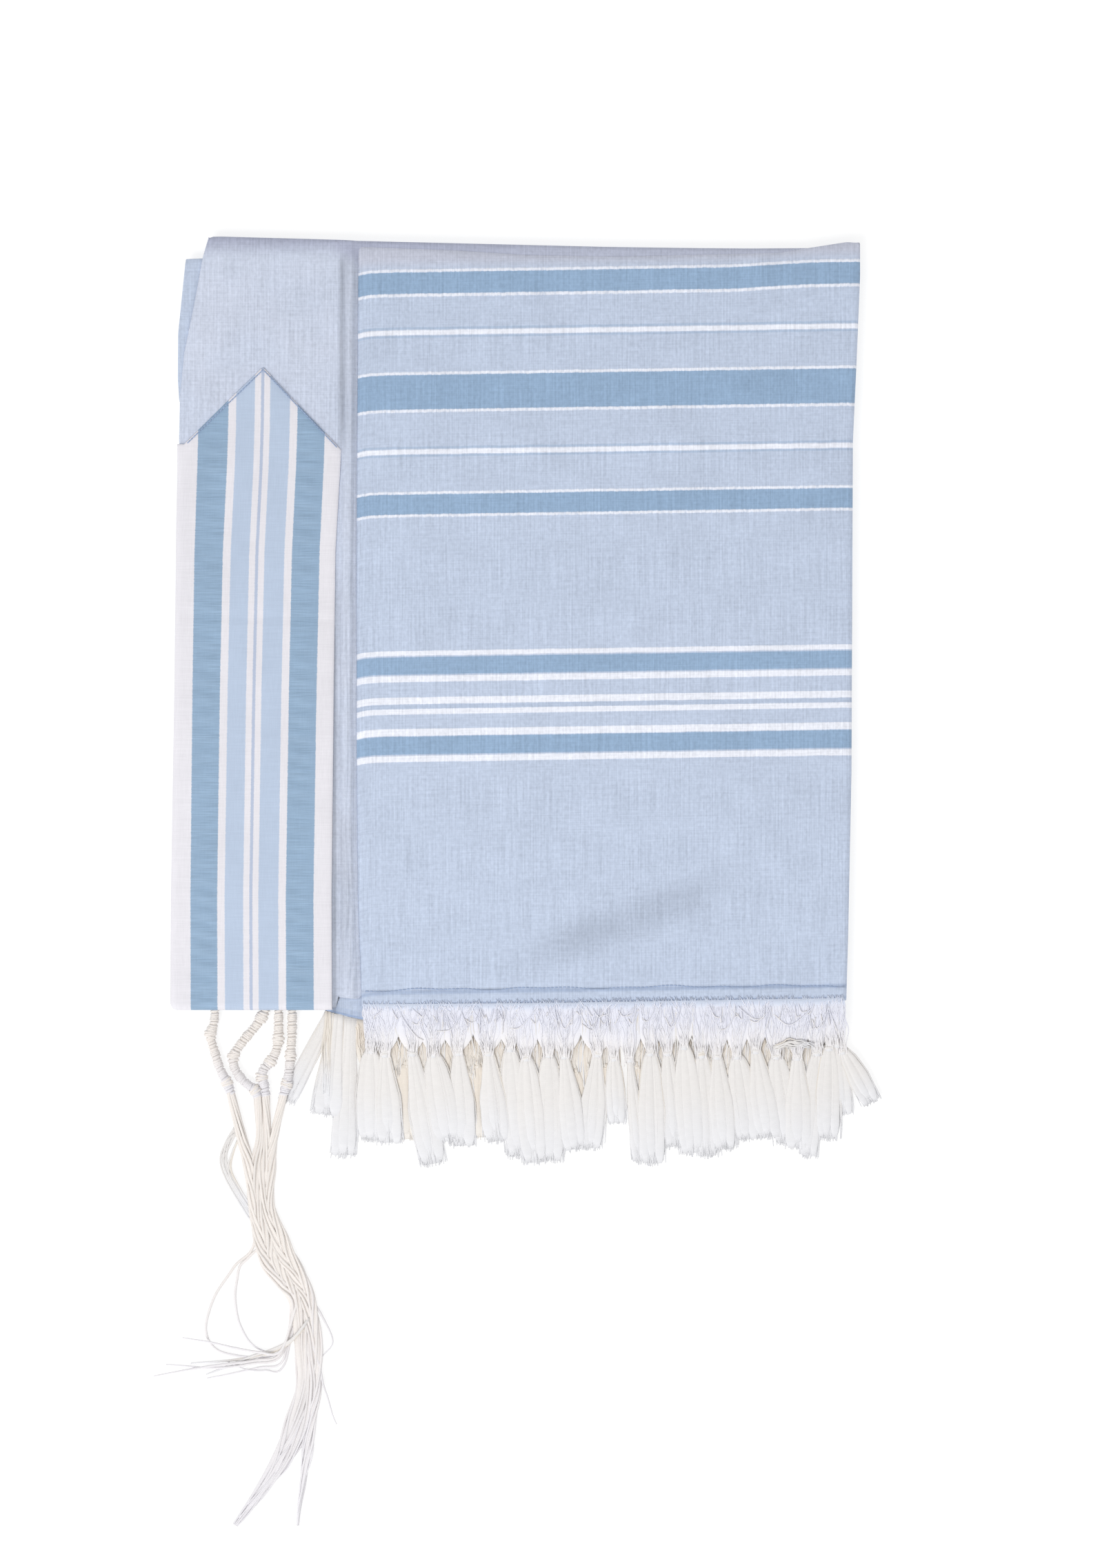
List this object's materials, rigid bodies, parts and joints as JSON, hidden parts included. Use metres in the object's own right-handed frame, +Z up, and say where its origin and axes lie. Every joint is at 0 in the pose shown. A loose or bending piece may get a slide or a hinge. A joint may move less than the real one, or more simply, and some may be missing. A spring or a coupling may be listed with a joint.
{
  "type": "tallit prayer shawl",
  "caption": "Folded striped prayer shawl with a pointed neckband, knotted fringe and corner tassels, lying flat.",
  "frame": {"origin": "middle of the whole length and width, on the surface that the folded shawl lies on", "axes": "+Z up from the surface, +Y along the neckband towards the top fold, +X from the neckband towards the striped end"},
  "size_m": [0.4244, 0.7545, 0.0121],
  "materials": {
    "cloth": "soft woven cotton, pale blue with white and deeper blue stripes",
    "neckband": "ribbed woven band with a slight sheen",
    "fringe": "loose soft white threads",
    "fringe_shade": "loose soft cream threads",
    "wool_cord": "spun cream wool, matt"
  },
  "bodies": {
    "root": {"core_layers": "cloth", "back_layer": "cloth", "neck_stretch": "cloth", "striped_end": "cloth", "atarah": "neckband", "fringe_front": "fringe", "fringe_under": "fringe_shade", "tzitzit_a": "wool_cord", "tzitzit_b": "wool_cord", "tzitzit_c": "wool_cord", "tzitzit_d": "wool_cord"}
  },
  "joints": []
}
